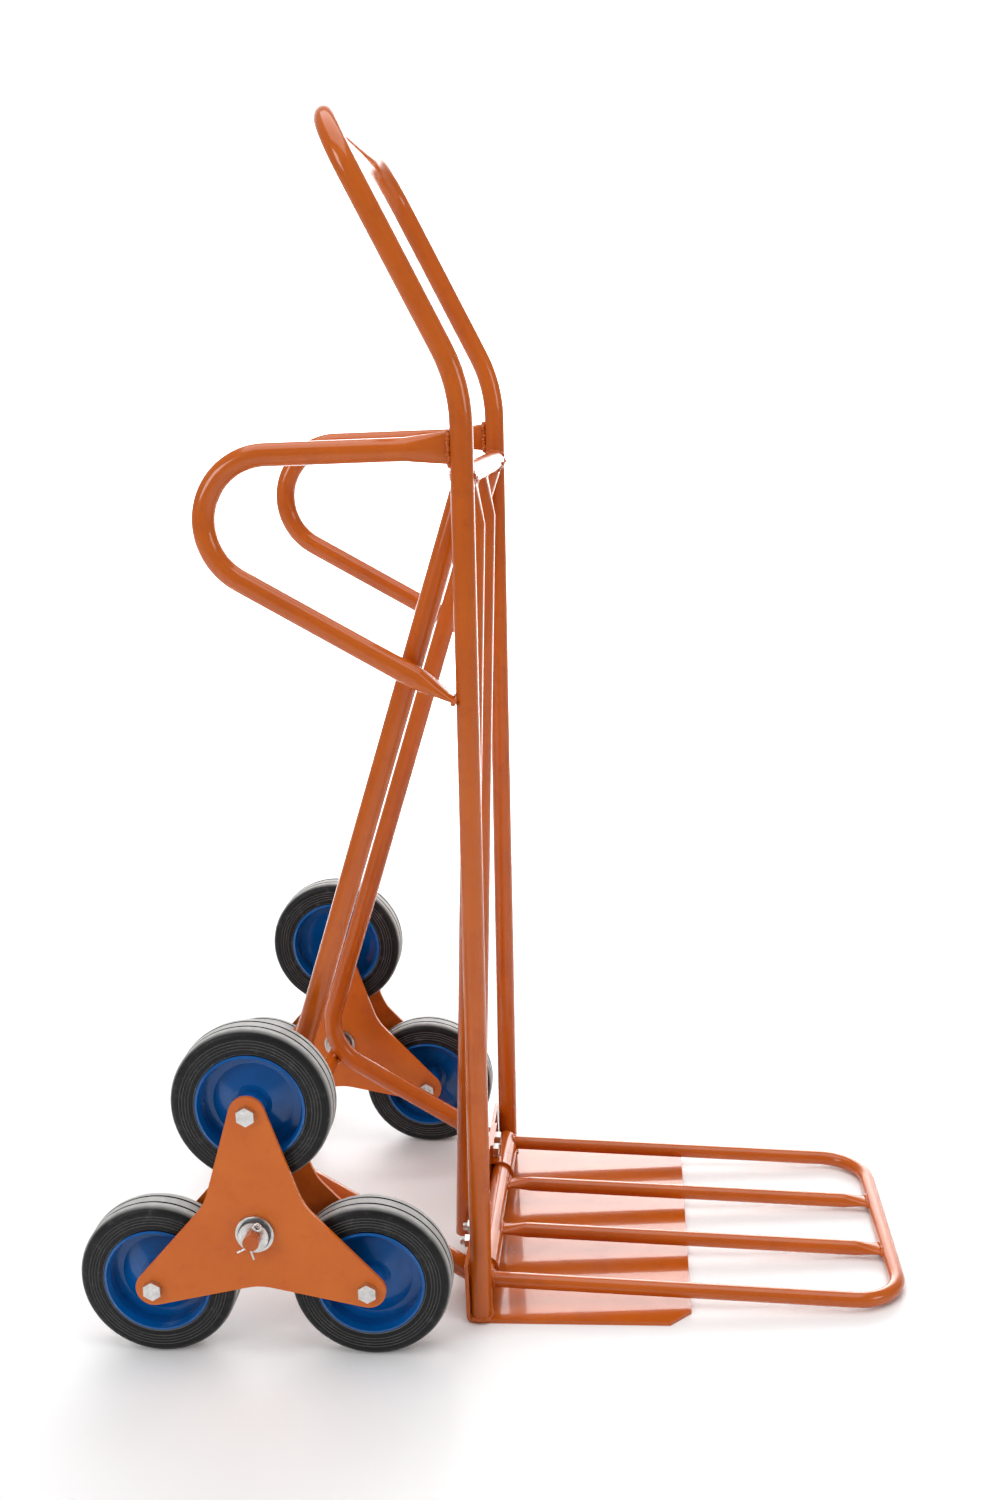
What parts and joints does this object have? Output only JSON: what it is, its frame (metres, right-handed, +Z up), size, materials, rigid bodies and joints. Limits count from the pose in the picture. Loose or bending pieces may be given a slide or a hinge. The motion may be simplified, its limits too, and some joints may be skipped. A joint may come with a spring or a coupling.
{
  "type": "stair-climbing hand truck",
  "caption": "Tubular two-wheel-star hand truck with a raked push loop, side grip loops, load plate and fold-out load extension.",
  "frame": {"origin": "on the floor midway between the feet of the two uprights, on the underside of the load plate", "axes": "+X forward over the load plate, +Y to the truck's left, +Z up"},
  "size_m": [0.8361, 0.568, 1.194],
  "materials": {
    "orange_paint": "gloss burnt-orange stove enamel",
    "blue_paint": "gloss blue enamel on pressed steel",
    "zinc_steel": "bright zinc plate",
    "black_rubber": "black solid rubber",
    "bush_plastic": "dark moulded nylon"
  },
  "bodies": {
    "frame": {"frame_loop": "orange_paint", "back_crossbar": "orange_paint", "toe_plate": "orange_paint", "axle": "orange_paint", "slat_left": "orange_paint", "slat_right": "orange_paint", "grip_left": "orange_paint", "grip_right": "orange_paint", "stay_left": "orange_paint", "stay_right": "orange_paint", "hinge_clip_left": "orange_paint", "hinge_clip_right": "orange_paint", "clip_bolts_left": "zinc_steel", "clip_bolts_right": "zinc_steel", "clip_nuts_left": "zinc_steel", "clip_nuts_right": "zinc_steel", "outer_axle_washer_left": "zinc_steel", "outer_axle_washer_right": "zinc_steel", "outer_split_pin_left": "zinc_steel", "outer_split_pin_right": "zinc_steel", "inner_axle_washer_left": "zinc_steel", "inner_axle_washer_right": "zinc_steel", "inner_split_pin_left": "zinc_steel", "inner_split_pin_right": "zinc_steel"},
    "extension": {"hinge_tube": "orange_paint", "extension_loop": "orange_paint", "extension_bar_left": "orange_paint", "extension_bar_right": "orange_paint"},
    "star_left": {"outer_plate_left": "orange_paint", "inner_plate_left": "orange_paint", "hub_sleeve_left": "zinc_steel", "axle_bushes_left": "bush_plastic", "wheel_bolts_left": "zinc_steel", "wheel_nuts_left": "zinc_steel", "wheel_spacers_left": "zinc_steel"},
    "wheel_left_1": {"tyre_left_1": "black_rubber", "rim_left_1": "blue_paint", "wheel_bush_left_1": "bush_plastic"},
    "wheel_left_2": {"tyre_left_2": "black_rubber", "rim_left_2": "blue_paint", "wheel_bush_left_2": "bush_plastic"},
    "wheel_left_3": {"tyre_left_3": "black_rubber", "rim_left_3": "blue_paint", "wheel_bush_left_3": "bush_plastic"},
    "star_right": {"outer_plate_right": "orange_paint", "inner_plate_right": "orange_paint", "hub_sleeve_right": "zinc_steel", "axle_bushes_right": "bush_plastic", "wheel_bolts_right": "zinc_steel", "wheel_nuts_right": "zinc_steel", "wheel_spacers_right": "zinc_steel"},
    "wheel_right_1": {"tyre_right_1": "black_rubber", "rim_right_1": "blue_paint", "wheel_bush_right_1": "bush_plastic"},
    "wheel_right_2": {"tyre_right_2": "black_rubber", "rim_right_2": "blue_paint", "wheel_bush_right_2": "bush_plastic"},
    "wheel_right_3": {"tyre_right_3": "black_rubber", "rim_right_3": "blue_paint", "wheel_bush_right_3": "bush_plastic"}
  },
  "joints": [
    {"name": "extension_fold", "type": "hinge", "parent": "frame", "child": "extension", "pos_m": [0.0003, 0, 0.03], "axis": [0, -1, 0], "range_deg": [0, 90]},
    {"name": "star_left_turn", "type": "hinge", "parent": "frame", "child": "star_left", "pos_m": [-0.209, 0.231, 0.142], "axis": [0, 1, 0], "continuous": true},
    {"name": "wheel_left_1_spin", "type": "hinge", "parent": "star_left", "child": "wheel_left_1", "pos_m": [-0.209, 0.231, 0.266], "axis": [0, 1, 0], "continuous": true},
    {"name": "wheel_left_2_spin", "type": "hinge", "parent": "star_left", "child": "wheel_left_2", "pos_m": [-0.10161, 0.231, 0.08], "axis": [0, 1, 0], "continuous": true},
    {"name": "wheel_left_3_spin", "type": "hinge", "parent": "star_left", "child": "wheel_left_3", "pos_m": [-0.31639, 0.231, 0.08], "axis": [0, 1, 0], "continuous": true},
    {"name": "star_right_turn", "type": "hinge", "parent": "frame", "child": "star_right", "pos_m": [-0.209, -0.231, 0.142], "axis": [0, 1, 0], "continuous": true},
    {"name": "wheel_right_1_spin", "type": "hinge", "parent": "star_right", "child": "wheel_right_1", "pos_m": [-0.209, -0.231, 0.266], "axis": [0, 1, 0], "continuous": true},
    {"name": "wheel_right_2_spin", "type": "hinge", "parent": "star_right", "child": "wheel_right_2", "pos_m": [-0.10161, -0.231, 0.08], "axis": [0, 1, 0], "continuous": true},
    {"name": "wheel_right_3_spin", "type": "hinge", "parent": "star_right", "child": "wheel_right_3", "pos_m": [-0.31639, -0.231, 0.08], "axis": [0, 1, 0], "continuous": true}
  ]
}
